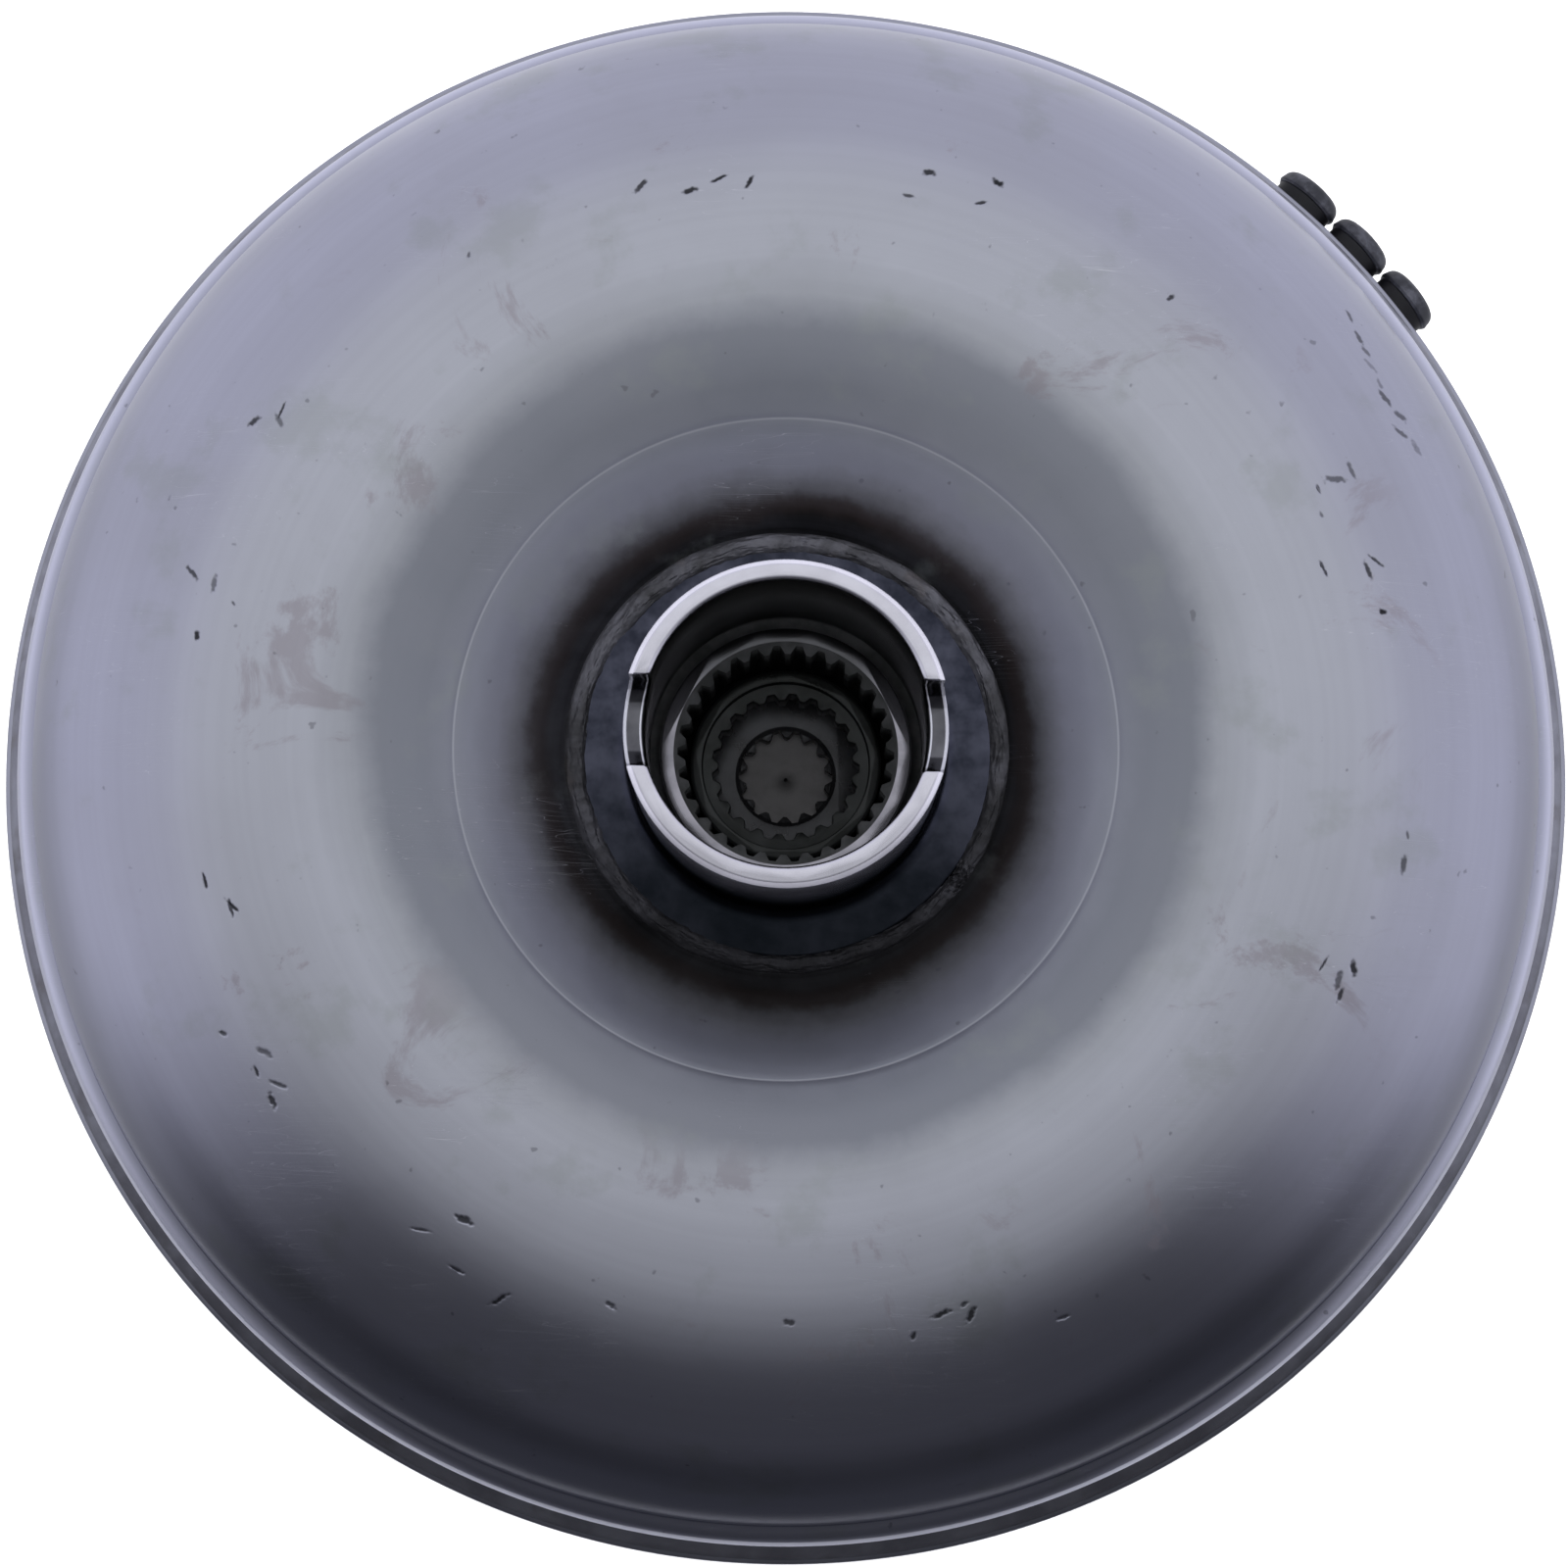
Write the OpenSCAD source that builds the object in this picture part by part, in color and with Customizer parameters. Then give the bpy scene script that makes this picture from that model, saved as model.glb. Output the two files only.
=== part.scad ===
// Torque converter of the welded, three-element kind. The cover and the impeller form
// one housing; the turbine and the stator, with its one-way clutch, turn inside it.
// Z points from the engine to the gearbox. Z = 0 lies on the faces of the drive lugs,
// and X runs through the two slots of the pump-drive hub. Millimetres and degrees.

/* [Housing] */
// Outer radius of the front cover's skirt
cover_r = 152.5; // [152:0.25:154]
// Thickness of the front cover
cover_t = 6; // [5:0.5:6.5]
// Height of the cover's rim above the lug faces
rim_z = 48; // [47:0.5:50]
// Outer radius of the bend between the cover's plate and its skirt
cover_bend_r = 26; // [24:0.5:27]
// Thickness of the impeller shell
shell_t = 4; // [3.6:0.1:4.2]
// Depth of the lap between the cover and the impeller skirt
lap = 9; // [8:0.5:10]

/* [Pump-drive hub] */
// Outer radius of the hub's journal
hub_r = 28.9; // [28.5:0.1:29.3]
// Bore radius of the hub
hub_bore_r = 25.2; // [24.8:0.1:25.4]
// Height of the hub's end above the cover's rim
hub_rise = 99; // [95:1:103]
// Width of each drive slot at its mouth
slot_w = 16; // [15:0.5:17]
// Depth of each drive slot
slot_depth = 12.5; // [11:0.5:14]
// Width of the flat floor of each drive slot
slot_floor_w = 8.3; // [7.5:0.1:9]

/* [Splines] */
// Teeth in the inner race, for the fixed stator shaft
race_teeth = 30; // [28:1:31]
// Teeth in the turbine hub, for the gearbox input shaft
turbine_teeth = 21; // [20:1:22]
// Teeth in the cover boss, for the pump shaft
boss_teeth = 14; // [13:1:15]

/* [Fluid circuit] */
// Radius of the circle on which the torus section is centred
torus_r = 99.5; // [99:0.25:99.75]
// Height of the torus centre above the cover's rim
torus_rise = 18.2; // [18:0.1:18.4]
// Outer radius of the shell's section on its outer half
shell_section_r = 44.3; // [44.2:0.05:44.4]
// Radius of the shell's flank between its crest and the hub
flank_r = 115; // [114:0.5:118]
// Number of impeller blades
impeller_blade_count = 31; // [27:1:33]
// Number of turbine blades
turbine_blade_count = 29; // [25:1:31]
// Number of stator vanes
stator_vane_count = 17; // [13:1:19]

/* [One-way clutch] */
// Radius of the roller track on the inner race
track_r = 27; // [26.9:0.05:27]
// Radius of a clutch roller
roller_r = 3.95; // [3.9:0.01:3.95]
// Number of rollers and springs
roller_count = 10; // [8:1:10]

/* [Lugs and weights] */
// Number of drive lugs
lug_count = 6; // [4:1:8]
// Radius of the drive lugs' bolt circle
lug_circle_r = 115; // [112:0.5:115]
// Height of the drive lugs
lug_h = 10; // [8:0.5:10]
// Radius of the tapped hole in each lug
lug_hole_r = 4.25; // [3.9:0.05:5]
// Number of balance weights
weight_count = 3; // [1:1:5]
// Direction of the middle balance weight
weight_angle = 44.2; // [0:0.1:360]
// Angle between neighbouring balance weights
weight_step = 5.15; // [5.1:0.05:8]

/* [Hidden] */
$fn = 144;
eps = 0.01;

// Levels along the axis
plate_z = lug_h;
torus_z = rim_z + torus_rise;
split_z = rim_z + 15;
hub_z = rim_z + hub_rise;
hub_flange_z = rim_z + 41.3;
hub_flange_t = 6;
boss_shoulder_z = rim_z - 9;
boss_nose_z = rim_z - 1.5;
pilot_z = 2;
plug_z = rim_z - 8.6;
turbine_flange_z = rim_z - 6.8;
turbine_flange_t = 5;
race_low_z = rim_z + 3;
race_high_z = rim_z + 45.1;
cam_low_z = rim_z + 6;
cam_high_z = rim_z + 33;

// Housing
skirt_r = cover_r - 4.3;
skirt_bore_r = cover_r - 4.1;
shoulder_r = 4.5;
centre_step_r = 84;
centre_step = 2;
boss_r = 30;
pilot_r = 22.2;
plug_r = 11;
plug_t = 4;
boss_nose_r = 17.5;
bushing_r = 18.4;
shell_hole_r = 38.7;
hub_flange_r = 38.5;

// Lugs and weights
lug_w = 22;
lug_l = 36;
lug_corner_r = 4;
lug_weld_l = 26;
weight_neck_r = 6.2;
weight_head_r = 6.8;
weight_neck = 2.6;
weight_rise = 6;

// Turbine
core_r = 16;
core_t = 1.2;
turbine_section_r = 38.8;
turbine_t = 2.5;
blade_gap = 1;
blade_end = 138;
rivet_count = 12;
rivet_circle_r = 50;
rivet_r = 2.5;

// Stator and bearings
cam_r = 42;
stator_hub_r = 58.5;
shroud_r = 83.5;
shroud_t = 2.5;
roller_length = 22;
pocket_half = 7.2;
ramp_low = 34.6;
ramp_high = 35.9;
bearing_in = 29.5;
bearing_out = 38.5;
bearing_race_t = 1;
bearing_gap = 2.2;
needle_count = 36;
needle_r = 1;
lower_bearing_z = turbine_flange_z + turbine_flange_t;
upper_bearing_z = hub_flange_z - 2 * bearing_race_t - bearing_gap;

// Points along an arc about [cx, cy], from angle a to angle b in n steps
function arc(cx, cy, r, a, b, n) =
    [for (i = [0 : n]) let (t = a + (b - a) * i / n) [cx + r * cos(t), cy + r * sin(t)]];

// Centreline of the flank: its section's centre lies below the crest
function flank_centre_z() = torus_z + shell_section_r - flank_r;

// Angle on the flank's arc at which it reaches radius r
function flank_angle(section_r, r) = 180 - acos((torus_r - r) / section_r);

// Line at depth d under the impeller shell's outer surface, from angle a near the rim
// over the crest to radius r, in steps of about 4 degrees divided by a fineness
function shell_line(d, a, r, fineness = 1) = concat(
    arc(torus_r, torus_z, shell_section_r - d, a, 90, round(24 * fineness)),
    arc(torus_r, flank_centre_z(), flank_r - d, 90, flank_angle(flank_r - d, r),
        round(16 * fineness))
);

function reverse(list) = [for (i = [len(list) - 1 : -1 : 0]) list[i]];

// A turned ring: its section lies between two radii and two levels
module ring(inner, outer, low, high, chamfer = 0) {
    rotate_extrude()
        polygon([
            [inner, low], [outer - chamfer, low], [outer, low + chamfer],
            [outer, high - chamfer], [outer - chamfer, high], [inner, high]
        ]);
}

// The tool shape of an internal spline with 30 degree flanks
module spline_cut(tip_r, root_r, teeth, low, high) {
    pitch_r = (tip_r + root_r) / 2;
    half_space = 90 * pitch_r / teeth * PI / 180;
    foot_r = tip_r - 0.5;
    half_foot = half_space + (pitch_r - foot_r) * tan(30);
    half_root = half_space - (root_r - pitch_r) * tan(30);
    translate([0, 0, low])
        cylinder(r = tip_r, h = high - low);
    for (i = [0 : teeth - 1])
        rotate(i * 360 / teeth)
            translate([0, 0, low])
                linear_extrude(high - low)
                    polygon([
                        [foot_r, -half_foot], [root_r, -half_root],
                        [root_r, half_root], [foot_r, half_foot]
                    ]);
}

// --- Front cover and what is fixed to it ---

module front_cover() {
    bend_c = cover_r - cover_bend_r;
    color("#8f92a3")
        rotate_extrude()
            polygon(concat(
                [
                    [boss_r + 0.1, plate_z + centre_step],
                    [centre_step_r, plate_z + centre_step],
                    [centre_step_r + 6, plate_z]
                ],
                arc(bend_c, plate_z + cover_bend_r, cover_bend_r, -90, 0, 18),
                [
                    [cover_r, rim_z - 0.8],
                    [cover_r - 0.8, rim_z],
                    [skirt_bore_r, rim_z],
                    [skirt_bore_r, rim_z - lap - 0.5],
                    [cover_r - cover_t, rim_z - lap - 0.5]
                ],
                arc(bend_c, plate_z + cover_bend_r, cover_bend_r - cover_t, 0, -90, 18),
                [
                    [centre_step_r + 6, plate_z + cover_t],
                    [centre_step_r, plate_z + cover_t + centre_step],
                    [boss_r + 0.1, plate_z + cover_t + centre_step]
                ]
            ));
}

module cover_boss() {
    weld_land = plate_z - 1;
    mouth_r = 9.84;
    color("#6c6f7c")
        difference() {
            rotate_extrude()
                polygon([
                    [0, pilot_z], [pilot_r - 1.2, pilot_z], [pilot_r, pilot_z + 1.2],
                    [pilot_r, weld_land], [boss_r, weld_land],
                    [boss_r, boss_shoulder_z - 0.8], [boss_r - 0.8, boss_shoulder_z],
                    [boss_nose_r, boss_shoulder_z], [boss_nose_r, boss_nose_z - 0.6],
                    [boss_nose_r - 0.6, boss_nose_z], [0, boss_nose_z]
                ]);
            spline_cut(7.85, 9.2, boss_teeth, plug_z - 1, boss_nose_z + 1);
            rotate_extrude()
                polygon([
                    [0, boss_nose_z - 0.9], [mouth_r - 0.9, boss_nose_z - 0.9],
                    [mouth_r, boss_nose_z + eps], [0, boss_nose_z + eps]
                ]);
            translate([0, 0, pilot_z - 1])
                cylinder(r = plug_r, h = plug_z - pilot_z + 1);
        }
}

module boss_weld() {
    color("#5d5b5e")
        rotate_extrude()
            polygon(concat(
                [[boss_r, plate_z + centre_step]],
                arc(boss_r, plate_z + centre_step, 4.2, 0, -45, 4),
                arc(boss_r, plate_z + centre_step, 3.4, -50, -90, 4)
            ));
}

module pilot_plug() {
    low = plug_z - plug_t;
    color("#77757a")
        rotate_extrude()
            polygon([
                [0, low], [plug_r - 0.6, low], [plug_r, low + 0.6],
                [plug_r, plug_z], [0.7, plug_z], [0, plug_z - 0.6]
            ]);
}

module pilot_bushing() {
    color("#b08d4f")
        ring(boss_nose_r, bushing_r, boss_shoulder_z + 0.8, boss_nose_z - 0.2, 0.3);
}

module thrust_washer() {
    color("#b59a5c")
        ring(bushing_r + 1.1, boss_r - 1, boss_shoulder_z, boss_shoulder_z + 2, 0.3);
}

// Outline of a rectangle with rounded corners
function rounded(w, h, r) = concat(
    arc(w / 2 - r, h / 2 - r, r, 0, 90, 6), arc(r - w / 2, h / 2 - r, r, 90, 180, 6),
    arc(r - w / 2, r - h / 2, r, 180, 270, 6), arc(w / 2 - r, r - h / 2, r, 270, 360, 6)
);

module on_lug_circle() {
    for (i = [0 : lug_count - 1])
        rotate(i * 360 / lug_count)
            translate([lug_circle_r, 0, 0])
                children();
}

module drive_lugs() {
    color("#55565c")
        on_lug_circle()
            difference() {
                linear_extrude(lug_h)
                    polygon(rounded(lug_w, lug_l, lug_corner_r));
                translate([0, 0, -1])
                    cylinder(r = lug_hole_r, h = lug_h + 2);
                translate([0, 0, -eps])
                    cylinder(r1 = lug_hole_r + 1, r2 = lug_hole_r, h = 1);
            }
}

module lug_welds() {
    leg = 4;
    color("#5d5b5e")
        on_lug_circle()
            for (side = [0, 180])
                rotate(side)
                    translate([0, lug_weld_l / 2, 0])
                        rotate([90, 0, 0])
                            linear_extrude(lug_weld_l)
                                polygon(concat(
                                    [[lug_w / 2, plate_z]],
                                    arc(lug_w / 2, plate_z, leg * 0.9, 0, -90, 6)
                                ));
}

module balance_weights() {
    edge_r = 0.5;
    dome_r = 2;
    color("#26272c")
        for (i = [0 : weight_count - 1])
            rotate(weight_angle + (i - (weight_count - 1) / 2) * weight_step)
                translate([cover_r - 0.2, 0, rim_z - 7.2])
                    rotate([0, 90, 0])
                        rotate_extrude($fn = 48)
                            polygon(concat(
                                [
                                    [0, 0], [weight_neck_r, 0], [weight_neck_r, weight_neck],
                                    [weight_head_r - 0.3, weight_neck]
                                ],
                                arc(weight_head_r - edge_r, weight_neck + 0.7, edge_r, -60, 20, 4),
                                arc(weight_head_r - dome_r - 0.2, weight_neck + 1.35, dome_r, 20, 80, 5),
                                [[0, weight_rise]]
                            ));
}

// --- Impeller ---

module impeller_shell() {
    low = rim_z - lap;
    step_z = split_z + 0.5;
    inner_r = shell_section_r - shell_t;
    color("#a0a2b2")
        rotate_extrude()
            polygon(concat(
                [[skirt_r, low]],
                arc(skirt_r - shoulder_r, split_z, shoulder_r, 0, 75, 8),
                shell_line(0, 1.8, shell_hole_r),
                reverse(shell_line(shell_t, asin((step_z - torus_z) / inner_r), shell_hole_r)),
                [[skirt_r - shell_t, step_z], [skirt_r - shell_t, low]]
            ));
}

module shell_weld() {
    color("#6a6972")
        rotate_extrude()
            polygon(concat(
                [[skirt_r - 0.3, rim_z - 0.3]],
                [[cover_r - 1.4, rim_z - 0.3]],
                arc(skirt_r - 0.3, rim_z - 0.3, 3.6, 10, 90, 6)
            ));
}

// Space between the impeller shell and the core ring that the blades fill
function impeller_passage() = concat(
    shell_line(shell_t, asin((split_z + blade_gap - torus_z) / (shell_section_r - shell_t)), 62,
        0.4),
    arc(torus_r, torus_z, core_r, blade_end, asin((split_z + blade_gap - torus_z) / core_r), 10)
);

// One curved blade wall, leaning by an angle at mid radius, of bend radius r
module blade(r, lean, low, high) {
    t = 1.2;
    span = 52 / r * 180 / PI;
    translate([torus_r, 0, low])
        rotate(lean - 90)
            translate([-r, 0, 0])
                rotate(-span)
                    rotate_extrude(angle = 2 * span)
                        translate([r - t / 2, 0])
                            square([t, high - low]);
}

module impeller_blades() {
    color("#8a8d98")
        intersection() {
            rotate_extrude()
                polygon(impeller_passage());
            for (i = [0 : impeller_blade_count - 1])
                rotate(i * 360 / impeller_blade_count)
                    blade(160, 6, split_z, torus_z + shell_section_r);
        }
}

// Half of the core ring, swept from one angle to another
module core_ring(a, b) {
    rotate_extrude()
        polygon(concat(
            arc(torus_r, torus_z, core_r, a, b, 20),
            arc(torus_r, torus_z, core_r - core_t, b, a, 20)
        ));
}

module impeller_core_ring() {
    color("#9a9da6")
        core_ring(asin((split_z + blade_gap - torus_z) / (core_r - core_t)), blade_end);
}

module impeller_hub() {
    top = hub_flange_z + hub_flange_t;
    floor_z = hub_z - slot_depth;
    fillet = 3;
    outer_chamfer = 0.9;
    inner_chamfer = 0.6;
    relief_r = hub_bore_r + 0.8;
    relief_z = hub_flange_z + 5.2;
    color("#b9b8c8")
        difference() {
            rotate_extrude()
                polygon(concat(
                    [
                        [relief_r, hub_flange_z], [hub_flange_r, hub_flange_z],
                        [hub_flange_r, top - 0.7], [hub_flange_r - 0.7, top]
                    ],
                    arc(hub_r + fillet, top + fillet, fillet, 270, 180, 6),
                    [
                        [hub_r, hub_z - outer_chamfer], [hub_r - outer_chamfer, hub_z],
                        [hub_bore_r + inner_chamfer, hub_z],
                        [hub_bore_r, hub_z - inner_chamfer],
                        [hub_bore_r, relief_z], [relief_r, relief_z]
                    ]
                ));
            rotate([90, 0, 90])
                translate([0, 0, -hub_r - 5])
                    linear_extrude(2 * hub_r + 10)
                        polygon([
                            [-slot_floor_w / 2, floor_z], [slot_floor_w / 2, floor_z],
                            [slot_w / 2 - 1.4, floor_z + 1], [slot_w / 2, floor_z + 4],
                            [slot_w / 2, hub_z + 1], [-slot_w / 2, hub_z + 1],
                            [-slot_w / 2, floor_z + 4], [1.4 - slot_w / 2, floor_z + 1]
                        ]);
        }
}

module hub_weld() {
    top = hub_flange_z + hub_flange_t;
    color("#5d5b5e")
        rotate_extrude()
            polygon(concat(
                [[36.9, top - 0.3], [37.1, top + 0.3]],
                arc(39, top - 1.6, 2.5, 120, 40, 8),
                [[41.3, top - 1.6], [40.4, top - 2.2], [38.4, top - 2.2]]
            ));
}

// --- Turbine ---

module turbine_shell() {
    outer = turbine_section_r + turbine_t;
    flange_z = turbine_flange_z + turbine_flange_t;
    rim = split_z - blade_gap - torus_z;
    drop = flange_z - torus_z;
    color("#8a8d98")
        difference() {
            rotate_extrude()
                polygon(concat(
                    arc(torus_r, torus_z, outer, asin(rim / outer), -180 - asin(drop / outer), 48),
                    [[cam_r + 0.5, flange_z], [cam_r + 0.5, flange_z + turbine_t]],
                    reverse(arc(torus_r, torus_z, turbine_section_r,
                        asin(rim / turbine_section_r),
                        -180 - asin((drop + turbine_t) / turbine_section_r), 48))
                ));
            on_rivet_circle()
                translate([0, 0, flange_z - 1])
                    cylinder(r = rivet_r + 0.05, h = turbine_t + 2, $fn = 32);
        }
}

function turbine_passage() = concat(
    arc(torus_r, torus_z, turbine_section_r,
        asin((split_z - blade_gap - torus_z) / turbine_section_r), -blade_end, 13),
    arc(torus_r, torus_z, core_r, -blade_end, asin((split_z - blade_gap - torus_z) / core_r), 10)
);

module turbine_blades() {
    color("#8a8d98")
        intersection() {
            rotate_extrude()
                polygon(turbine_passage());
            for (i = [0 : turbine_blade_count - 1])
                rotate(i * 360 / turbine_blade_count)
                    blade(95, -12, torus_z - turbine_section_r - 1, split_z);
        }
}

module turbine_core_ring() {
    color("#9a9da6")
        core_ring(asin((split_z - blade_gap - torus_z) / (core_r - core_t)), -blade_end);
}

module on_rivet_circle() {
    for (i = [0 : rivet_count - 1])
        rotate((i + 0.5) * 360 / rivet_count)
            translate([rivet_circle_r, 0, 0])
                children();
}

module turbine_hub() {
    flange_top = turbine_flange_z + turbine_flange_t;
    nose_z = rim_z + 21;
    nose_r = 18.2;
    color("#6f7079")
        difference() {
            rotate_extrude()
                polygon([
                    [0, turbine_flange_z], [58, turbine_flange_z], [58, flange_top],
                    [track_r, flange_top], [track_r, rim_z + 1.7], [nose_r, rim_z + 1.7],
                    [nose_r, nose_z - 0.5], [nose_r - 0.5, nose_z], [0, nose_z]
                ]);
            spline_cut(12.9, 14.1, turbine_teeth, rim_z + 7, nose_z - 2);
            translate([0, 0, nose_z - 3])
                cylinder(r = 16, h = 4);
            translate([0, 0, turbine_flange_z - 1])
                cylinder(r = bushing_r + 0.05, h = 6.8);
            translate([0, 0, turbine_flange_z + 5])
                cylinder(r = 15, h = rim_z + 8 - turbine_flange_z - 5);
            on_rivet_circle()
                translate([0, 0, turbine_flange_z - 1])
                    cylinder(r = rivet_r + 0.05, h = turbine_flange_t + 2, $fn = 32);
        }
}

module turbine_rivets() {
    stack = turbine_flange_t + turbine_t;
    head = 1.5;
    color("#55565c")
        on_rivet_circle()
            translate([0, 0, turbine_flange_z])
                rotate_extrude($fn = 32)
                    polygon([
                        [0, -head], [3, -head], [4.2, -0.6], [4.2, 0], [rivet_r, 0],
                        [rivet_r, stack], [4.2, stack], [4.2, stack + 0.6],
                        [3, stack + head], [0, stack + head]
                    ]);
}

// --- Stator and one-way clutch ---

module inner_race() {
    nose_r = 23.4;
    bore_r = 20.4;
    mouth_r = 20.9;
    mouth_depth = 2.4;
    spline_low = rim_z + 24;
    color("#9593a0")
        difference() {
            rotate_extrude()
                polygon([
                    [0, race_low_z], [track_r - 0.6, race_low_z], [track_r, race_low_z + 0.6],
                    [track_r, cam_high_z + 1.4], [track_r - 0.6, cam_high_z + 2],
                    [nose_r, cam_high_z + 2], [nose_r, race_high_z - 0.3],
                    [nose_r - 0.3, race_high_z], [0, race_high_z]
                ]);
            spline_cut(18.8, 20.2, race_teeth, race_low_z - 1, race_high_z + 1);
            rotate_extrude()
                polygon([
                    [0, race_high_z - mouth_depth],
                    [mouth_r - mouth_depth, race_high_z - mouth_depth],
                    [mouth_r, race_high_z + eps], [0, race_high_z + eps]
                ]);
            translate([0, 0, race_low_z - 1])
                cylinder(r = bore_r, h = spline_low - race_low_z + 1);
        }
}

// Curved aerofoil section of a stator vane, nose up
function vane_section() = concat(
    arc(-1.5, 0, 2.6, 170, 10, 8),
    arc(-19, -1, 20.2, 3, -46, 10),
    reverse(arc(-17.5, -2, 16.2, 3, -44, 10))
);

module stator_wheel() {
    hub_low = rim_z + 3.5;
    hub_high = rim_z + 39;
    seat_z = rim_z + 2.4;
    groove_z = cam_high_z + 3;
    vane_high = rim_z + 26;
    color("#a9abb0") {
        difference() {
            ring(cam_r, stator_hub_r, hub_low, hub_high, 2);
            ring(cam_r - 1, cam_r + 1.5, groove_z, groove_z + 1.4);
        }
        ring(bearing_in + 0.5, cam_r, seat_z, cam_low_z);
        ring(cam_r - 1, cam_r + 1, hub_low, cam_low_z);
        ring(shroud_r, shroud_r + shroud_t, rim_z + 9.5, rim_z + 27);
        for (i = [0 : stator_vane_count - 1])
            rotate(i * 360 / stator_vane_count)
                translate([stator_hub_r - 0.6, 0, vane_high - 2.7])
                    rotate([90, 0, 90])
                        linear_extrude(shroud_r - stator_hub_r + 1.2)
                            polygon(vane_section());
    }
}

module cam_race() {
    color("#84858f")
        difference() {
            ring(track_r + 1.2, cam_r, cam_low_z, cam_high_z);
            for (i = [0 : roller_count - 1])
                rotate(i * 360 / roller_count)
                    translate([0, 0, cam_low_z - 1])
                        linear_extrude(cam_high_z - cam_low_z + 2)
                            polygon([
                                [track_r - 1, -pocket_half], [ramp_low, -pocket_half],
                                [ramp_high, pocket_half], [track_r - 1, pocket_half]
                            ]);
        }
}

module clutch_rollers() {
    mid_z = (cam_low_z + cam_high_z) / 2;
    color("#c4c6cc")
        for (i = [0 : roller_count - 1])
            rotate(i * 360 / roller_count)
                translate([31, -2.4, mid_z - roller_length / 2])
                    cylinder(r = roller_r, h = roller_length, $fn = 48);
}

// Folded strip spring that holds a roller against its ramp
module clutch_springs() {
    folds = 6;
    pitch = 0.86;
    near_x = 29.5;
    far_x = 33.3;
    half_t = 0.15 / sin(atan(pitch / (far_x - near_x)));
    line = [for (i = [0 : folds]) [i % 2 == 0 ? near_x : far_x, 1.75 + i * pitch]];
    mid_z = (cam_low_z + cam_high_z) / 2;
    color("#7d7f86")
        for (i = [0 : roller_count - 1])
            rotate(i * 360 / roller_count)
                translate([0, 0, mid_z - roller_length / 2 + 2])
                    linear_extrude(roller_length - 4)
                        polygon(concat(
                            [for (p = line) p + [half_t, 0]],
                            [for (p = reverse(line)) p - [half_t, 0]]
                        ));
}

module clutch_retainer() {
    step = 3;
    color("#8f8c86")
        rotate_extrude()
            polygon([
                [track_r + 0.6, cam_high_z], [cam_r - 0.1, cam_high_z],
                [cam_r - 0.1, cam_high_z + step], [bearing_out + 0.3, cam_high_z + step],
                [bearing_out + 0.3, upper_bearing_z], [track_r + 0.6, upper_bearing_z]
            ]);
}

module retaining_ring() {
    gap = 9;
    color("#55565c")
        difference() {
            ring(39.4, cam_r + 1.4, cam_high_z + 3.05, cam_high_z + 4.3);
            translate([30, -gap / 2, cam_high_z])
                cube([20, gap, 8]);
        }
}

// --- Thrust needle bearings ---

module bearing_race(low) {
    color("#b6b8be")
        ring(bearing_in, bearing_out, low, low + bearing_race_t, 0.15);
}

module in_cage() {
    for (i = [0 : needle_count - 1])
        rotate(i * 360 / needle_count)
            children();
}

// Cage between two races whose lower one ends at a level
module bearing_cage(low) {
    t = 1.2;
    mid = low + bearing_gap / 2;
    color("#7a7467")
        difference() {
            ring(bearing_in + 0.2, bearing_out - 0.2, mid - t / 2, mid + t / 2);
            in_cage()
                translate([bearing_in + 1.1, -needle_r - 0.05, mid - t])
                    cube([bearing_out - bearing_in - 2.2, 2 * needle_r + 0.1, 2 * t]);
        }
}

module bearing_needles(low) {
    color("#c4c6cc")
        in_cage()
            translate([bearing_in + 1.3, 0, low + bearing_gap / 2])
                rotate([0, 90, 0])
                    cylinder(r = needle_r, h = bearing_out - bearing_in - 2.6, $fn = 24);
}

module upper_bearing_stator_race() {
    bearing_race(upper_bearing_z);
}

module upper_bearing_cage() {
    bearing_cage(upper_bearing_z + bearing_race_t);
}

module upper_bearing_needles() {
    bearing_needles(upper_bearing_z + bearing_race_t);
}

module upper_bearing_hub_race() {
    bearing_race(hub_flange_z - bearing_race_t);
}

module lower_bearing_turbine_race() {
    bearing_race(lower_bearing_z);
}

module lower_bearing_cage() {
    bearing_cage(lower_bearing_z + bearing_race_t);
}

module lower_bearing_needles() {
    bearing_needles(lower_bearing_z + bearing_race_t);
}

module lower_bearing_stator_race() {
    bearing_race(lower_bearing_z + bearing_race_t + bearing_gap);
}

front_cover();
cover_boss();
boss_weld();
pilot_plug();
pilot_bushing();
thrust_washer();
drive_lugs();
lug_welds();
balance_weights();
impeller_shell();
shell_weld();
impeller_blades();
impeller_core_ring();
impeller_hub();
hub_weld();
turbine_shell();
turbine_blades();
turbine_core_ring();
turbine_hub();
turbine_rivets();
inner_race();
stator_wheel();
cam_race();
clutch_rollers();
clutch_springs();
clutch_retainer();
retaining_ring();
upper_bearing_hub_race();
upper_bearing_stator_race();
upper_bearing_cage();
upper_bearing_needles();
lower_bearing_turbine_race();
lower_bearing_stator_race();
lower_bearing_cage();
lower_bearing_needles();
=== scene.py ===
"""Looks for the torque converter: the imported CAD, with its visible pieces remade finer."""

import math
import random

import bmesh
import bpy
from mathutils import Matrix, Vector, kdtree, noise


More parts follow.
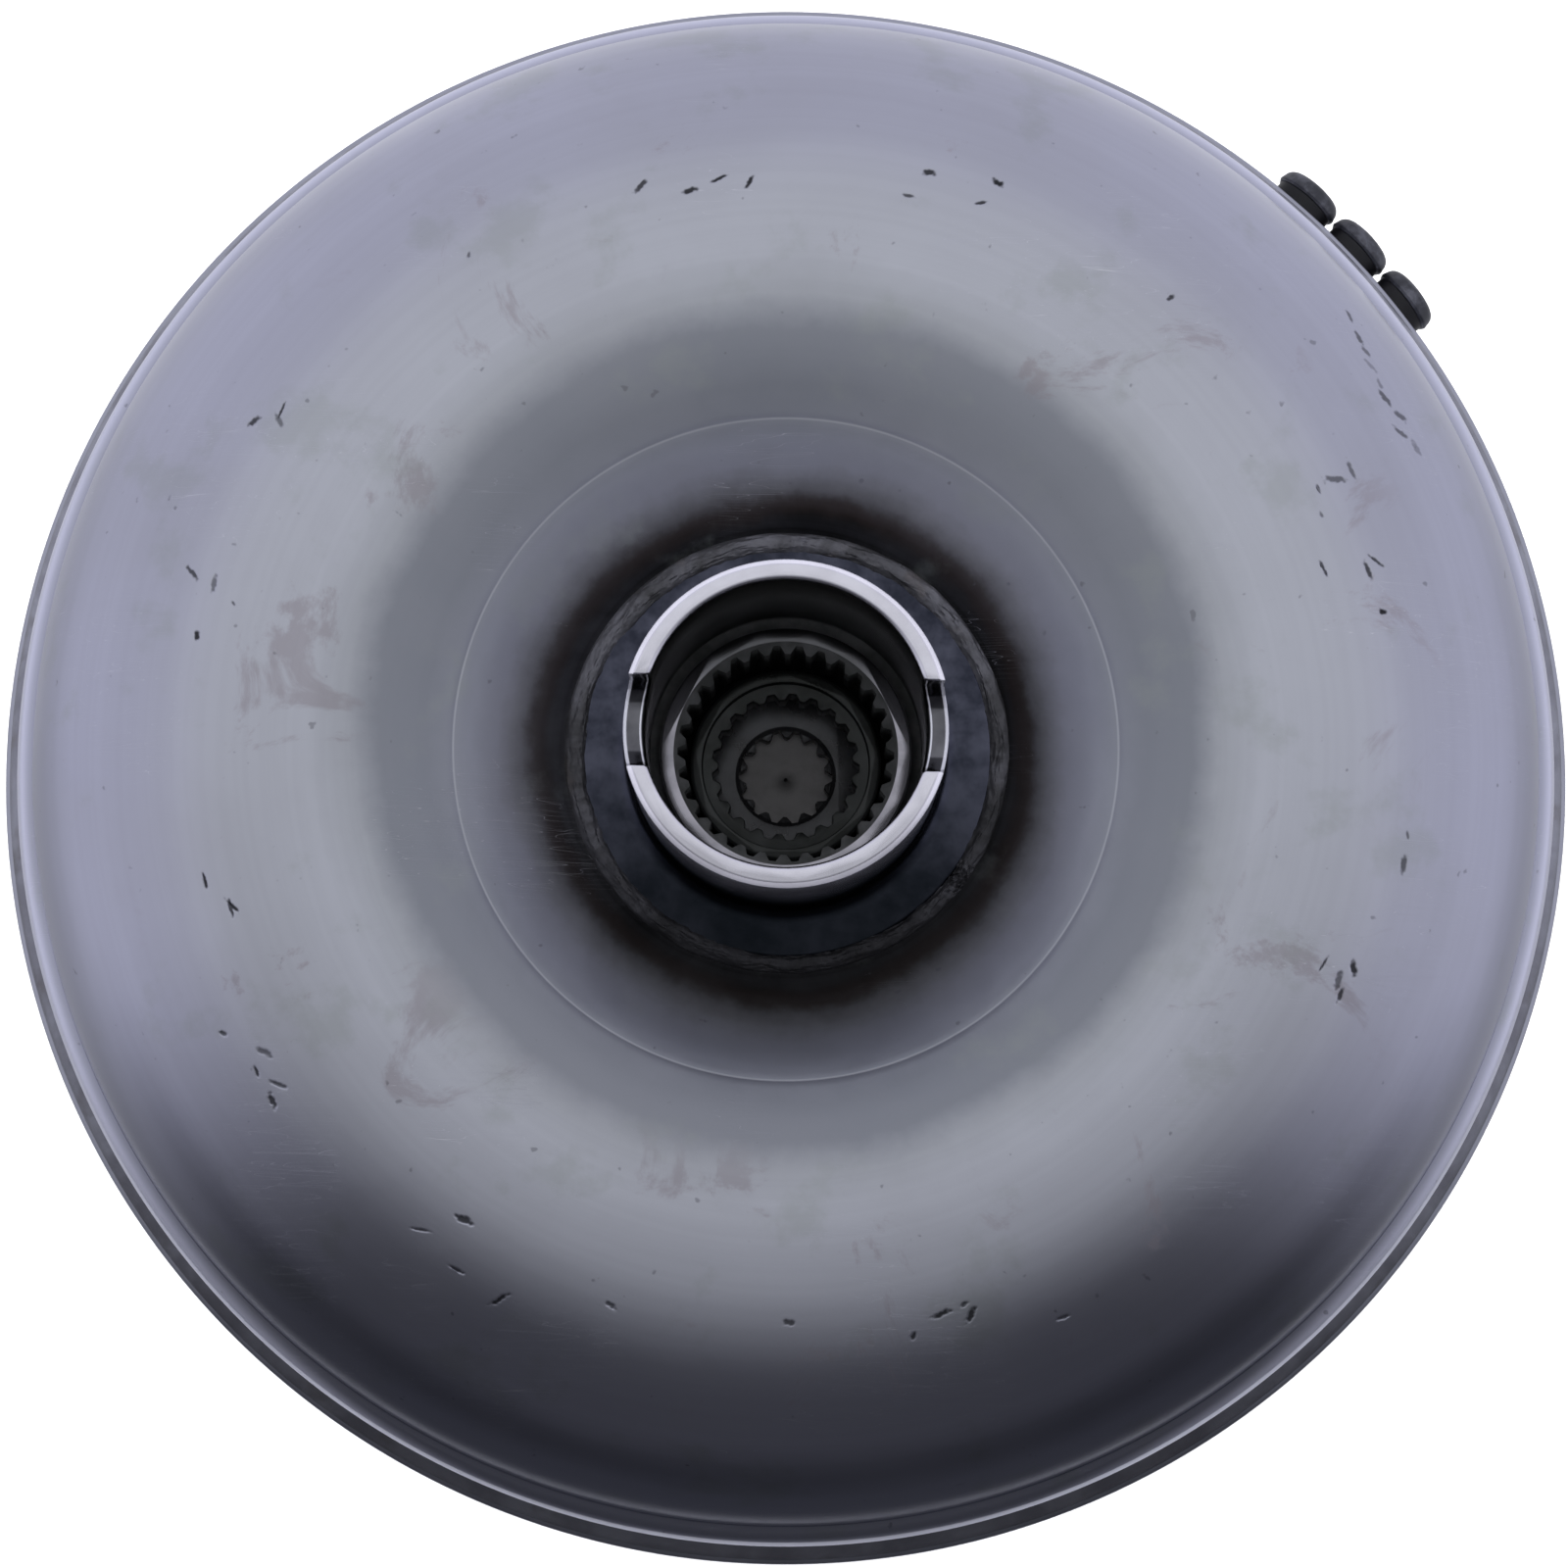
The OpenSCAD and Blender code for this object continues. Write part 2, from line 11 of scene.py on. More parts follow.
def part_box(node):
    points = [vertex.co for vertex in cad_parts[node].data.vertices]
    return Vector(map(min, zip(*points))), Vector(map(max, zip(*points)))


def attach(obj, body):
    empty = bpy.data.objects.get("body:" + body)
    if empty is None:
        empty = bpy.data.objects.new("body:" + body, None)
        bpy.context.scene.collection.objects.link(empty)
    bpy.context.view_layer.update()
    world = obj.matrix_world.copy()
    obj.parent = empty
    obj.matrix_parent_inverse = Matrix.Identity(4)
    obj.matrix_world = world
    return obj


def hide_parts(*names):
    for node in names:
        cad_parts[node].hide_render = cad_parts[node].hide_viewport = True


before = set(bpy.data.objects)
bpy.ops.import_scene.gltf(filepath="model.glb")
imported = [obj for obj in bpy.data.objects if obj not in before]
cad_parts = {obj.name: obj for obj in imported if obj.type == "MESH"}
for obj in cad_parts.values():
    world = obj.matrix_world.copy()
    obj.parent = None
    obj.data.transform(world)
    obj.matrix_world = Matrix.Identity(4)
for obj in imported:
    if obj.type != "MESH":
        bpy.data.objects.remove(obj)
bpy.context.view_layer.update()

MM = 0.001
LOW, HIGH = 0, 1
RNG = random.Random(11)


def top(node):
    """Height of a node's highest point, in millimetres."""
    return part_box(node)[HIGH][2] / MM


def foot(node):
    """Height of a node's lowest point, in millimetres."""
    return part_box(node)[LOW][2] / MM


def reach(node):
    """Largest radius of a turned node, in millimetres."""
    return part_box(node)[HIGH][0] / MM


# Sizes in millimetres, from the frame and from the CAD's section.
# The front cover, and how far its closing weld rises
COVER_R = reach("front_cover")
RIM_Z = top("front_cover")
PLATE_Z = top("drive_lugs")
COVER_T = 6.0
BEND_R = 26.0
BOSS_HOLE_R = 30.1
STEP_R = 84.0
STEP = 2.0
RABBET_R = COVER_R - 4.1
RABBET_DEPTH = 9.5
WELD_RISE = 3.4

# The pump hub and the weld round it (its scar's place in degrees)
HUB_Z = top("impeller_hub")
HUB_FLANGE_R = reach("impeller_hub")
HUB_R = 28.9
HUB_BORE_R = 25.2
SLOT_HALF = 8.1
SLOT_FLOOR_HALF = 4.1
SLOT_DEPTH = 12.5
HUB_WELD_R = reach("hub_weld")
HUB_WELD_BORE_R = 36.9
HUB_WELD_SCAR = 325

# The impeller shell: a skirt, a torus and a dished flank that meets it at the crest.
# The crease is where the torus starts above the shoulder, in degrees.
SKIRT_R = reach("impeller_shell")
SKIRT_LOW = foot("impeller_shell")
CREST_Z = top("impeller_shell")
SECTION_R = 44.3
TORUS_R = 99.5
TORUS_Z = CREST_Z - SECTION_R
FLANK_R = 115.0
SHELL_T = 4.0
SHELL_HOLE_R = HUB_FLANGE_R + 0.2
SHOULDER_DROP = 3.2
CREASE_ANGLE = 3.2
GROOVE_R = 61.1
GROOVE_DEPTH = 0.02

# The clutch race's bright end, and where the balance weights' necks stop
RACE_Z = top("inner_race")
RACE_FACE = (20.85, 23.3)
NECK_END_R = 155.0

# Steps round the axis, and the vertex attribute that marks the nicks
FINE_TURN = 480
HUB_WELD_TURN = 1200
RIM_WELD_TURN = 1140
WORN_AND_SHADED = "worn_and_shaded"


# ---------------------------------------------------------------- mesh tools

def arc(cx, cz, r, start, end, count):
    """Points of an arc in the section plane, angles in degrees."""
    points = []
    for i in range(count + 1):
        a = math.radians(start + (end - start) * i / count)
        points.append((cx + r * math.cos(a), cz + r * math.sin(a)))
    return points


def curve(start, control, end, count):
    """Points of a smooth bend between two points."""
    points = []
    for i in range(count + 1):
        t = i / count
        pulls = (((1 - t) ** 2, start), (2 * t * (1 - t), control), (t * t, end))
        points.append(tuple(sum(weight * point[k] for weight, point in pulls) for k in (0, 1)))
    return points


def new_object(name, bm):
    mesh = bpy.data.meshes.new(name)
    bmesh.ops.recalc_face_normals(bm, faces=bm.faces)
    bm.to_mesh(mesh)
    bm.free()
    piece = bpy.data.objects.new(name, mesh)
    bpy.context.scene.collection.objects.link(piece)
    return piece


def smooth(piece, angle=32):
    """Smooth shading, with edges sharper than the angle kept."""
    mesh = piece.data
    mesh.polygons.foreach_set("use_smooth", [True] * len(mesh.polygons))
    mesh.set_sharp_from_angle(angle=math.radians(angle))


def lathe(name, section, segments, shift=None):
    """A closed section in millimetres turned about Z; shift(r, z, angle) may move each point."""
    bm = bmesh.new()
    rings = []
    for r, z in section:
        ring = []
        for j in range(segments):
            a = 2 * math.pi * j / segments
            rr, zz = shift(r, z, a) if shift else (r, z)
            ring.append(bm.verts.new((rr * math.cos(a) * MM, rr * math.sin(a) * MM, zz * MM)))
        rings.append(ring)
    for i, ring in enumerate(rings):
        other = rings[(i + 1) % len(rings)]
        for j in range(segments):
            k = (j + 1) % segments
            bm.faces.new((ring[j], ring[k], other[k], other[j]))
    piece = new_object(name, bm)
    smooth(piece)
    return piece


def around(angle, z, scale, seed):
    """Smooth noise that closes on itself round the axis."""
    x, y = math.cos(angle) * scale, math.sin(angle) * scale
    return noise.noise(Vector((x, y, z * scale * 0.02 + seed)))


def bevelled(name, node, width, angle):
    """A finer copy of a CAD node, with its sharp edges broken."""
    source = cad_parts[node]
    piece = bpy.data.objects.new(name, source.data.copy())
    bpy.context.scene.collection.objects.link(piece)
    bm = bmesh.new()
    bm.from_mesh(piece.data)
    bmesh.ops.remove_doubles(bm, verts=bm.verts, dist=1e-6)
    flat = math.radians(0.5)
    bmesh.ops.dissolve_limit(bm, angle_limit=flat, verts=bm.verts, edges=bm.edges)
    bm.to_mesh(piece.data)
    bm.free()
    piece.data.materials.clear()
    bevel = piece.modifiers.new("edges", "BEVEL")
    bevel.width = width * MM
    bevel.segments = 2
    bevel.limit_method = "ANGLE"
    bevel.angle_limit = math.radians(angle)
    bevel.harden_normals = False
    apply_modifiers(piece)
    smooth(piece, 40)
    return piece


def apply_modifiers(piece):
    depsgraph = bpy.context.evaluated_depsgraph_get()
    mesh = bpy.data.meshes.new_from_object(piece.evaluated_get(depsgraph))
    piece.modifiers.clear()
    piece.data = mesh


# ---------------------------------------------------------------- materials

class Graph:
    """Short forms for building a node tree."""

    def __init__(self, tree):
        self.tree = tree
        self.coords = self.node("ShaderNodeTexCoord").outputs["Object"]

    def node(self, kind, **values):
        made = self.tree.nodes.new(kind)
        for key, value in values.items():
            setattr(made, key, value)
        return made

    def put(self, socket, value):
        if isinstance(value, bpy.types.NodeSocket):
            self.tree.links.new(value, socket)
        else:
            socket.default_value = value

    def math(self, operation, a, b=0.0):
        made = self.node("ShaderNodeMath", operation=operation)
        self.put(made.inputs[0], a)
        self.put(made.inputs[1], b)
        return made.outputs[0]

    def range(self, value, low, high, to_low=0.0, to_high=1.0):
        made = self.node("ShaderNodeMapRange", interpolation_type="SMOOTHSTEP")
        self.put(made.inputs["Value"], value)
        ends = {"From Min": low, "From Max": high, "To Min": to_low, "To Max": to_high}
        for key, number in ends.items():
            made.inputs[key].default_value = number
        return made.outputs[0]

    def mix(self, factor, a, b):
        made = self.node("ShaderNodeMix", data_type="RGBA")
        for socket, value in ((made.inputs[0], factor), (made.inputs[6], a), (made.inputs[7], b)):
            self.put(socket, (*value, 1.0) if isinstance(value, tuple) else value)
        return made.outputs[2]

    def shaders(self, factor, a, b):
        made = self.node("ShaderNodeMixShader")
        self.put(made.inputs[0], factor)
        self.put(made.inputs[1], a)
        self.put(made.inputs[2], b)
        return made.outputs[0]

    def split(self):
        made = self.node("ShaderNodeSeparateXYZ")
        self.put(made.inputs[0], self.coords)
        return made.outputs

    def turned(self, x, y):
        """Angle from the front, 0 to pi, on either side."""
        return self.math("ABSOLUTE", self.math("ARCTAN2", x, self.math("MULTIPLY", y, -1.0)))


class Nodes(Graph):
    """A metal's node tree."""

    def __init__(self, name):
        self.material = bpy.data.materials.new(name)
        self.material.use_nodes = True
        super().__init__(self.material.node_tree)
        self.shader = self.tree.nodes["Principled BSDF"]

    def noise(self, scale, detail=4.0, roughness=0.55, distortion=0.0, stretch=1, turn=0.0):
        """Noise; stretch squeezes it along Y after a turn about Z."""
        place = self.node("ShaderNodeMapping")
        place.inputs["Scale"].default_value = (1, stretch, 1)
        place.inputs["Rotation"].default_value = (0, 0, turn)
        self.put(place.inputs["Vector"], self.coords)
        node = self.node("ShaderNodeTexNoise")
        node.inputs["Scale"].default_value = scale
        node.inputs["Detail"].default_value = detail
        node.inputs["Roughness"].default_value = roughness
        node.inputs["Distortion"].default_value = distortion
        self.put(node.inputs["Vector"], place.outputs[0])
        return node.outputs["Fac"]

    def ramp(self, value, stops):
        """Colour ramp: stops are (position, colour)."""
        node = self.node("ShaderNodeValToRGB")
        elements = node.color_ramp.elements
        while len(elements) < len(stops):
            elements.new(0.5)
        for element, (position, colour) in zip(elements, stops, strict=True):
            element.position = position
            element.color = (*colour, 1.0)
        self.put(node.inputs[0], value)
        return node.outputs[0]

    def grain(self, value, scale):
        """One-dimensional noise along a value: turning marks."""
        node = self.node("ShaderNodeTexNoise", noise_dimensions="1D")
        node.inputs["Scale"].default_value = scale
        node.inputs["Detail"].default_value = 6.0
        self.put(node.inputs["W"], value)
        return node.outputs["Fac"]

    def band(self, value, low, high, soft):
        """1 between two values, 0 outside them, with soft edges."""
        rise = self.range(value, low - soft, low + soft)
        return self.math("MULTIPLY", rise, self.range(value, high - soft, high + soft, 1.0, 0.0))

    def both(self, a, b):
        return self.math("MULTIPLY", a, b)

    def soot_and_shade(self):
        """0 at the back, 1 at the front: the share of painted shade on the front side, where the
        steel mirrors the dark opening.
        """
        x, y, _ = self.split()
        return self.range(self.turned(x, y), math.radians(25), math.radians(115), 1.0, 0.0)

    def radius(self):
        """Distance from the axis, in millimetres."""
        flat = self.node("ShaderNodeVectorMath", operation="MULTIPLY")
        flat.inputs[1].default_value = (1000, 1000, 0)
        self.put(flat.inputs[0], self.coords)
        length = self.node("ShaderNodeVectorMath", operation="LENGTH")
        self.put(length.inputs[0], flat.outputs[0])
        return length.outputs["Value"]

    def height(self):
        """Height above the lug faces, in millimetres."""
        return self.math("MULTIPLY", self.split()[2], 1000.0)

    def bump(self, height, distance, strength=1.0, under=None):
        node = self.node("ShaderNodeBump")
        node.inputs["Strength"].default_value = strength
        node.inputs["Distance"].default_value = distance
        self.put(node.inputs["Height"], height)
        if under is not None:
            self.put(node.inputs["Normal"], under)
        return node.outputs[0]

    def scratches(self, scale, turn, width, stretch):
        """Thin, nearly straight lines, 1 on a line and 0 off it."""
        lines = self.noise(scale, 1.0, 0.4, stretch=stretch, turn=turn)
        near = self.math("ABSOLUTE", self.math("SUBTRACT", lines, 0.5))
        return self.range(near, 0.0, width, 1.0, 0.0)

    def finish(self, colour, roughness, normal=None, metallic=1.0):
        self.put(self.shader.inputs["Base Color"], colour)
        self.put(self.shader.inputs["Roughness"], roughness)
        self.put(self.shader.inputs["Metallic"], metallic)
        if normal is not None:
            self.put(self.shader.inputs["Normal"], normal)
        return self.material


def machined(name, colour, dark, roughness=0.3, metallic=1.0):
    """Turned or ground steel: fine rings, mottling and faint wear."""
    n = Nodes(name)
    radius = n.radius()
    rings = n.noise(1.0, 2.0, 0.5)
    patches = n.noise(90.0, 5.0, 0.6)
    fine = n.noise(2600.0, 2.0, 0.5)
    lines = n.grain(n.math("ADD", radius, n.math("MULTIPLY", n.height(), 0.7)), 7.0)
    shade = n.mix(n.range(patches, 0.3, 0.7), dark, colour)
    shade = n.mix(n.math("MULTIPLY", n.range(lines, 0.35, 0.7), 0.25), shade, dark)
    rough = n.math("ADD", n.math("MULTIPLY", patches, 0.18), roughness - 0.09)
    normal = n.bump(lines, 0.00002, 0.35, n.bump(fine, 0.00001, 0.3, n.bump(rings, 0.00002, 0.1)))
    return n.finish(shade, rough, normal, metallic)


def shell_tone(n, radius, y):
    """Base colour from the hub to the rim. Its outer bands lie slightly off centre."""
    off_centre = n.both(n.range(radius, 58.0, 72.0, 0.0, 40.0), y)
    first, span = 38.0, 115.0
    past_first = n.math("SUBTRACT", n.math("SUBTRACT", radius, off_centre), first)

    def at(mm):
        return (mm - first) / span

    # The dark stops next to the hub are partly sooty and partly painted shade, where the steel
    # mirrors the hub's dark side.
    return n.ramp(n.math("DIVIDE", past_first, span), [
        (at(38.0), (0.006, 0.006, 0.007)),
        (at(43.5), (0.016, 0.016, 0.017)),
        (at(45.8), (0.042, 0.040, 0.042)),
        (at(49.0), (0.120, 0.122, 0.134)),
        (at(53.0), (0.205, 0.212, 0.248)),
        (at(58.0), (0.245, 0.255, 0.305)),
        (at(66.0), (0.190, 0.200, 0.240)),
        (at(74.6), (0.198, 0.208, 0.248)),
        (at(80.4), (0.325, 0.335, 0.385)),
        (at(88.0), (0.392, 0.401, 0.470)),
        (at(104.0), (0.372, 0.379, 0.452)),
        (at(118.0), (0.370, 0.375, 0.462)),
        (at(134.0), (0.350, 0.355, 0.455)),
        (at(146.0), (0.310, 0.316, 0.406)),
    ])


def thin_scratches(n):
    """Thin lines in four directions, in patches."""
    marks = 0.0
    for scale, turn, width, stretch in (
        (34.0, 0.35, 0.0013, 16.0),
        (27.0, 1.15, 0.0010, 18.0),
        (30.0, 2.05, 0.0012, 15.0),
        (22.0, 2.75, 0.0010, 20.0),
    ):
        marks = n.math("MAXIMUM", n.scratches(scale, turn, width, stretch), marks)
    gate = n.range(n.noise(30.0, 2.0, 0.5), 0.54, 0.62)
    return n.math("MULTIPLY", marks, gate)


def shell_steel(name):
    """Pressed steel: lavender-grey, with wear on the crest, heat-tinted towards the hub and
    darkest there, partly sooty and partly painted shade.
    """
    n = Nodes(name)
    ragged = n.math("MULTIPLY", n.math("SUBTRACT", n.noise(26.0, 6.0, 0.62), 0.5), 9.0)
    fleck = n.math("MULTIPLY", n.math("SUBTRACT", n.noise(240.0, 3.0, 0.6), 0.5), 2.0)
    radius = n.math("ADD", n.radius(), n.math("ADD", ragged, fleck))
    x, y, _ = n.split()
    base = shell_tone(n, radius, y)
    worn_band = n.math("MULTIPLY", n.band(radius, 112.0, 125.0, 3.0), 0.16)
    base = n.mix(worn_band, base, (0.24, 0.245, 0.31))
    turning = n.range(n.grain(n.radius(), 0.5), 0.35, 0.65, 0.0, 0.06)
    base = n.mix(turning, base, (0.22, 0.225, 0.27))
    clouds = n.noise(17.0, 7.0, 0.6, distortion=0.4)
    colour = n.mix(n.range(clouds, 0.35, 0.68, 0.0, 0.20), base, (0.29, 0.29, 0.33))
    crest = n.both(n.range(n.radius(), 70.0, 84.0), n.range(n.radius(), 112.0, 126.0, 1.0, 0.0))
    stain = n.both(n.range(n.noise(34.0, 8.0, 0.68, distortion=0.8), 0.585, 0.66), crest)
    colour = n.mix(n.math("MULTIPLY", stain, 0.34), colour, (0.235, 0.190, 0.205))
    grey = n.math("MULTIPLY", n.range(n.noise(48.0, 6.0, 0.6), 0.55, 0.68), 0.30)
    colour = n.mix(grey, colour, (0.25, 0.27, 0.27))
    tint = n.band(radius, 43.5, 47.0, 1.2)
    colour = n.mix(n.math("MULTIPLY", tint, 0.45), colour, (0.034, 0.022, 0.018))
    # Painted highlight: a paler, less metallic band on the shoulder, narrower at the front.
    narrowed = n.range(n.turned(x, y), math.radians(15), math.radians(50), 1.8, 0.0)
    rim = n.range(n.math("SUBTRACT", n.radius(), narrowed), SKIRT_R - 4.2, SKIRT_R - 1.2)
    rim = n.both(rim, n.range(n.height(), RIM_Z + 10.5, RIM_Z + 12.0))
    colour = n.mix(rim, colour, (0.46, 0.465, 0.585))
    groove = n.band(n.radius(), GROOVE_R - 0.18, GROOVE_R + 0.18, 0.12)
    colour = n.mix(n.math("MULTIPLY", groove, 0.30), colour, (0.52, 0.53, 0.58))

    scratch = thin_scratches(n)
    colour = n.mix(n.math("MULTIPLY", scratch, 0.38), colour, (0.62, 0.62, 0.70))
    pits = n.range(n.noise(330.0, 2.0, 0.5), 0.72, 0.78)
    colour = n.mix(n.math("MULTIPLY", pits, 0.5), colour, (0.10, 0.10, 0.12))
    # Nicks are darkened: partly oxide in their hollows, partly painted shade.
    worn_and_shaded = n.node("ShaderNodeAttribute", attribute_name=WORN_AND_SHADED).outputs["Fac"]
    colour = n.mix(worn_and_shaded, colour, (0.012, 0.012, 0.014))

    rough = n.math("ADD", n.math("MULTIPLY", clouds, 0.16), 0.24)
    rough = n.math("ADD", rough, n.math("MULTIPLY", stain, 0.12))
    rough = n.math("ADD", rough, n.math("MULTIPLY", worn_and_shaded, 0.25))
    fine = n.noise(1500.0, 3.0, 0.6)
    normal = n.bump(fine, 0.000012, 0.5)
    normal = n.bump(n.noise(120.0, 3.0, 0.5), 0.00006, 0.25, normal)
    normal = n.bump(n.math("SUBTRACT", 1.0, scratch), 0.00003, 0.4, normal)
    # Less metallic next to the hub: partly sooty, partly painted shade.
    soot_and_shade = n.range(n.radius(), 48.0, 58.0, 0.08, 0.0)
    metallic = n.math("SUBTRACT", n.math("SUBTRACT", 1.0, soot_and_shade), n.math("MULTIPLY", rim, 0.22))
    return n.finish(colour, rough, normal, metallic)


def weld_metal(name, bright, dark, roughness=0.5, front_shade=0.0):
    """Weld bead: scaly, heat-tinted in patches, and darkened towards the front where asked:
    painted shade.
    """
    n = Nodes(name)
    scale = n.noise(420.0, 8.0, 0.7)
    patch = n.noise(60.0, 4.0, 0.6, distortion=0.5)
    colour = n.mix(n.range(patch, 0.35, 0.65), dark, bright)
    tint = n.math("MULTIPLY", n.range(n.noise(95.0, 3.0), 0.58, 0.70), 0.35)
    colour = n.mix(tint, colour, (0.10, 0.085, 0.08))
    # Painted shade: the bead is darkened towards the front, by the share asked for.
    colour = n.mix(n.math("MULTIPLY", n.soot_and_shade(), front_shade), colour, (0.010, 0.010, 0.012))
    rough = n.math("ADD", n.math("MULTIPLY", scale, 0.3), roughness - 0.1)
    normal = n.bump(scale, 0.00022, 0.7)
    return n.finish(colour, rough, normal, 0.85)


def black_finish(name, neck_r):
    """Blackened heads, paler in scuffed patches; the necks under them are painted black, a painted
    shadow under the heads.
    """
    n = Nodes(name)
    patch = n.noise(300.0, 6.0, 0.65)
    head = n.mix(n.range(patch, 0.40, 0.72), (0.020, 0.021, 0.028), (0.070, 0.071, 0.090))
    # Painted shadow: near-black where the necks sit under the heads.
    colour = n.mix(n.range(n.radius(), neck_r - 0.2, neck_r + 0.2), (0.006, 0.006, 0.008), head)
    rough = n.math("ADD", n.math("MULTIPLY", patch, 0.25), 0.34)
    return n.finish(colour, rough, n.bump(patch, 0.0001, 0.5), 0.55)


def cast_metal(name, colour, dark):
    """Sand-textured die casting."""
    n = Nodes(name)
    grain = n.noise(900.0, 4.0, 0.6)
    patch = n.noise(70.0, 4.0, 0.6)
    shade = n.mix(n.range(patch, 0.35, 0.65), dark, colour)
    rough = n.math("ADD", n.math("MULTIPLY", grain, 0.2), 0.42)
    return n.finish(shade, rough, n.bump(grain, 0.0001, 0.5))


# ---------------------------------------------------------------- pieces

def shell_outer():
    """Section line of the shell's outer surface, from the skirt over the crest to the hub."""
    flank_z = CREST_Z - FLANK_R
    end = 180 - math.degrees(math.acos((TORUS_R - SHELL_HOLE_R) / FLANK_R))
    mark = 180 - math.degrees(math.acos((TORUS_R - GROOVE_R) / FLANK_R))
    shoulder_z = TORUS_Z - SHOULDER_DROP
    points = [(SKIRT_R, z) for z in (SKIRT_LOW, RIM_Z - 2, RIM_Z + 6, shoulder_z - 2.8)]
    points += [(SKIRT_R - 0.06, shoulder_z - 2.3), (SKIRT_R - 0.16, shoulder_z - 1.9)]
    corner, edge = (SKIRT_R - 1.5, shoulder_z + 4.0), (SKIRT_R - 3.6, shoulder_z + 4.4)
    points += curve((SKIRT_R - 1.0, shoulder_z + 1.8), corner, edge, 10)
    points += [(SKIRT_R - 4.15, shoulder_z + 4.62), (SKIRT_R - 4.37, shoulder_z + 5.0)]
    points += arc(TORUS_R, TORUS_Z, SECTION_R, CREASE_ANGLE, 90, 64)
    points += arc(TORUS_R, flank_z, FLANK_R, 90.5, mark - 0.18, 34)
    points += arc(TORUS_R, flank_z, FLANK_R - GROOVE_DEPTH, mark - 0.10, mark + 0.02, 2)
    points += arc(TORUS_R, flank_z, FLANK_R, mark + 0.16, end, 24)
    return points


def random_marks():
    """Nicks in loose groups round the crest, and a broken streak nearer the rim.

    A mark is (radius, angle, turn, length, width, depth, shade).
    """
    right = (16, 26, 54, 72, 79)
    left = (97, 104, 127, 151, 166, 172, 195, 207, 214, 237, 246, 255)
    front = (272, 286, 297, 338, 350)
    marks = []
    for group in right + left + front:
        for _ in range(RNG.randint(1, 4)):
            angle = math.radians(group + RNG.uniform(-3.5, 3.5))
            turn = angle + math.radians(RNG.choice((70, 90, 90, 125)) + RNG.uniform(-18, 18))
            length, width = RNG.uniform(1.0, 4.2), RNG.uniform(0.45, 1.35)
            radius = RNG.uniform(103, 116)
            depth, shade = RNG.uniform(0.08, 0.2), RNG.uniform(0.55, 0.95)
            marks.append((radius, angle, turn, length, width, depth, shade))
    for step in range(9):
        angle = math.radians(27 + 1.5 * step + RNG.uniform(-0.4, 0.4))
        turn = angle + math.radians(90 + RNG.uniform(-30, 30))
        radius = 129 + 0.5 * step + RNG.uniform(-1.2, 1.2)
        length, width = RNG.uniform(2.0, 4.5), RNG.uniform(0.7, 1.3)
        marks.append((radius, angle, turn, length, width, 0.03, RNG.uniform(0.3, 0.7)))
    return marks


def gouge(piece, marks):
    """Cut the marks into a turned shell: a finer mesh under each, pushed in and tagged; the tag
    darkens them, partly as oxide in the hollows and partly as painted shade.
    """
    bm = bmesh.new()
    bm.from_mesh(piece.data)
    worn_and_shaded = bm.verts.layers.float.new(WORN_AND_SHADED)
    floor_z = (RIM_Z + 20) * MM
    outer = [f for f in bm.faces if f.normal.z > 0.1 and f.calc_center_median().z > floor_z]
    tree = kdtree.KDTree(len(outer))
    for i, face in enumerate(outer):
        middle = face.calc_center_median()
        tree.insert((middle.x, middle.y, 0), i)
    tree.balance()
    edges = set()
    for radius, angle, _, length, _, _, _ in marks:
        spot = (radius * math.cos(angle) * MM, radius * math.sin(angle) * MM, 0)
        for _, i, _ in tree.find_range(spot, (length / 2 + 1.5) * MM):
            edges.update(outer[i].edges)
    bmesh.ops.subdivide_edges(bm, edges=list(edges), cuts=5, use_grid_fill=True)
    high = [v for v in bm.verts if v.co.z > floor_z and v.normal.z > 0.0]
    tree = kdtree.KDTree(len(high))
    for i, vert in enumerate(high):
        tree.insert((vert.co.x, vert.co.y, 0), i)
    tree.balance()
    for radius, angle, turn, length, width, depth, shade in marks:
        spot = Vector((radius * math.cos(angle), radius * math.sin(angle), 0)) * MM
        along = Vector((math.cos(turn), math.sin(turn)))
        for _, i, _ in tree.find_range(spot, (length / 2 + 1.0) * MM):
            vert = high[i]
            offset = (vert.co - spot).to_2d() / MM
            u, v = offset.dot(along) / (length / 2), offset.cross(along) / (width / 2)
            ragged = 0.45 * noise.noise(Vector((vert.co.x, vert.co.y, 0.0)) / MM * 1.6)
            inside = 1.15 - math.hypot(u, v + 0.35 * math.sin(2 * u)) + ragged
            share = max(0.0, min(1.0, inside / 0.45))
            vert[worn_and_shaded] = max(vert[worn_and_shaded], share * shade)
            vert.co.z -= depth * share * MM
    bm.to_mesh(piece.data)
    bm.free()


def make_shell():
    inner = SECTION_R - SHELL_T
    flank_z = CREST_Z - FLANK_R
    end = 180 - math.degrees(math.acos((TORUS_R - SHELL_HOLE_R) / (FLANK_R - SHELL_T)))
    step_z = RIM_Z + 15.5
    back = arc(TORUS_R, flank_z, FLANK_R - SHELL_T, end, 90, 12)
    back += arc(TORUS_R, TORUS_Z, inner, 86, -3.8, 14)
    back += [(SKIRT_R - SHELL_T, step_z), (SKIRT_R - SHELL_T, SKIRT_LOW)]
    outer = shell_outer()

    def press(r, z, angle):
        """Slight waviness left by the press."""
        wave = around(angle, z, 2.2, 3.0) * 0.10 + around(angle, z * 4, 6.0, 9.0) * 0.035
        fade = min(1.0, max(0.0, (z - RIM_Z - 20) / 20))
        return r, z - abs(wave) * fade

    shell = lathe("shell", outer + back, FINE_TURN, press)
    gouge(shell, random_marks())
    smooth(shell)
    shell.data.materials.append(shell_steel("shell_steel"))
    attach(shell, "housing")
    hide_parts("impeller_shell")


